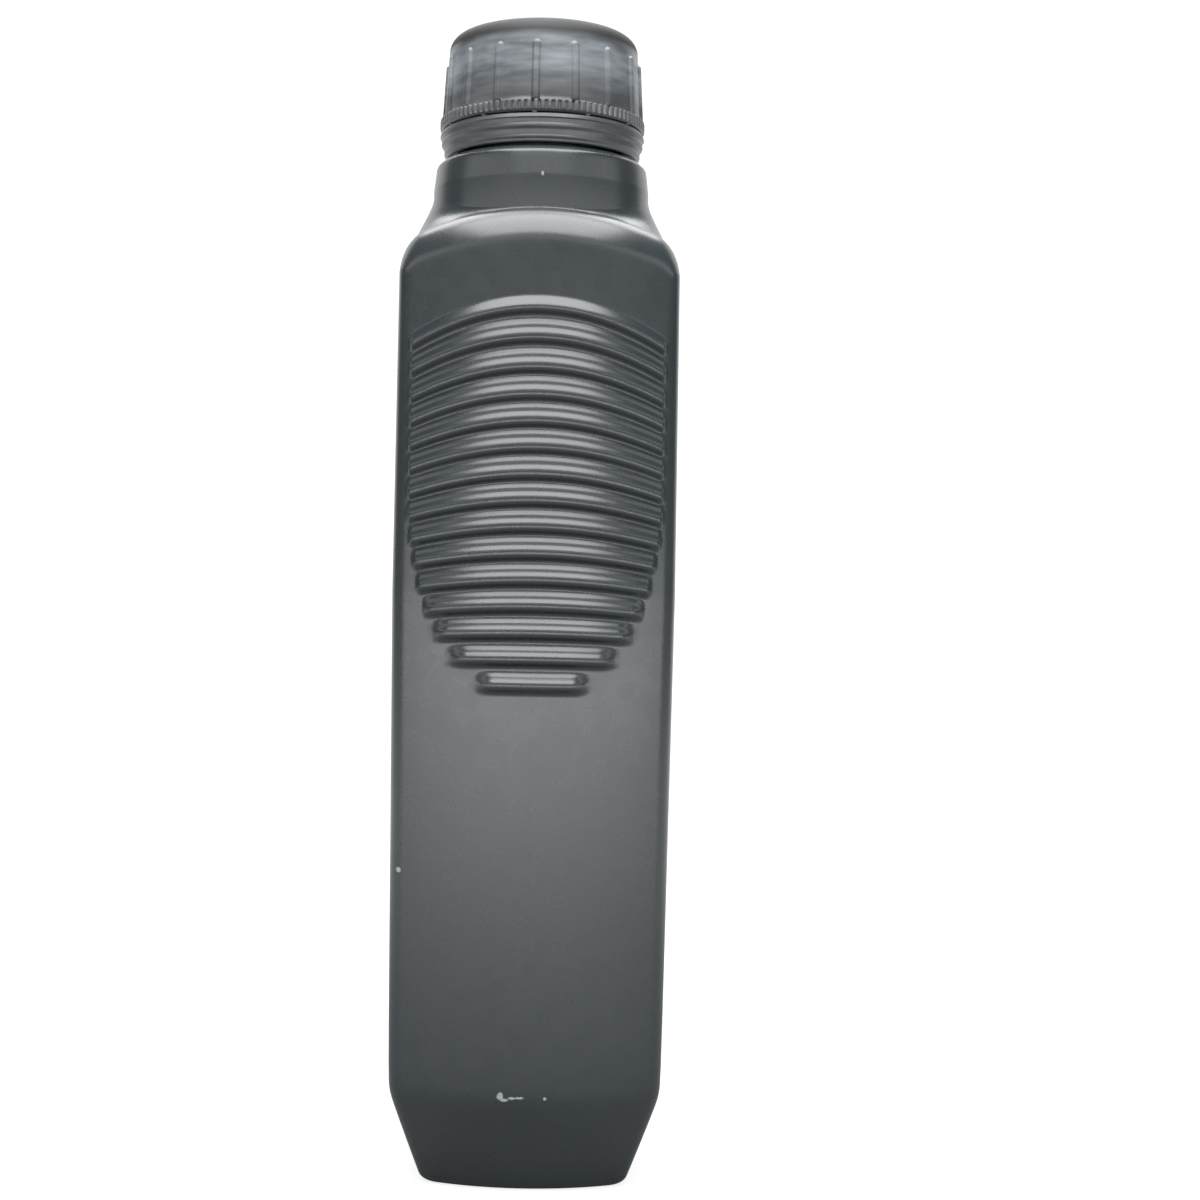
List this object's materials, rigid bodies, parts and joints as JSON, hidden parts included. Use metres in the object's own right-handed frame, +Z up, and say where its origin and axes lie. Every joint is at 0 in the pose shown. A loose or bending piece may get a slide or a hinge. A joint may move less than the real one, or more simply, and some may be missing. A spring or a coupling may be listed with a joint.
{
  "type": "motor oil bottle",
  "caption": "Flat grey HDPE bottle for a litre of motor oil, with grip ribs on its narrow sides, a drawn-in foot, a ribbed screw cap and an unbroken tamper-evident ring",
  "frame": {"origin": "centre of the foot's bottom, in the plane that the bottle stands on", "axes": "+Z up along the neck, +X across the thickness from one broad side to the other, +Y across the width from the pictured narrow side to the far one"},
  "size_m": [0.0582, 0.1066, 0.2478],
  "materials": {
    "bottle": "satin grey blow-moulded HDPE",
    "screw_cap": "satin grey injection-moulded HDPE",
    "tamper_ring": "satin grey injection-moulded HDPE",
    "cap_liner": "white foamed polyethylene"
  },
  "bodies": {
    "bottle": {"bottle": "bottle", "tamper_ring": "tamper_ring"},
    "liner": {"cap_liner": "cap_liner"},
    "cap": {"screw_cap": "screw_cap"}
  },
  "joints": [
    {"name": "cap_rise", "type": "slide", "parent": "bottle", "child": "liner", "axis": [0, 0, 1], "range_m": [0, 0.00577]},
    {"name": "cap_turn", "type": "hinge", "parent": "liner", "child": "cap", "pos_m": [0, 0, 0.2264], "axis": [0, 0, 1], "range_deg": [0, 495]}
  ],
  "couplings": [
    {"joint": "cap_rise", "follows": "cap_turn", "m_per_rad": 0.00066845}
  ]
}
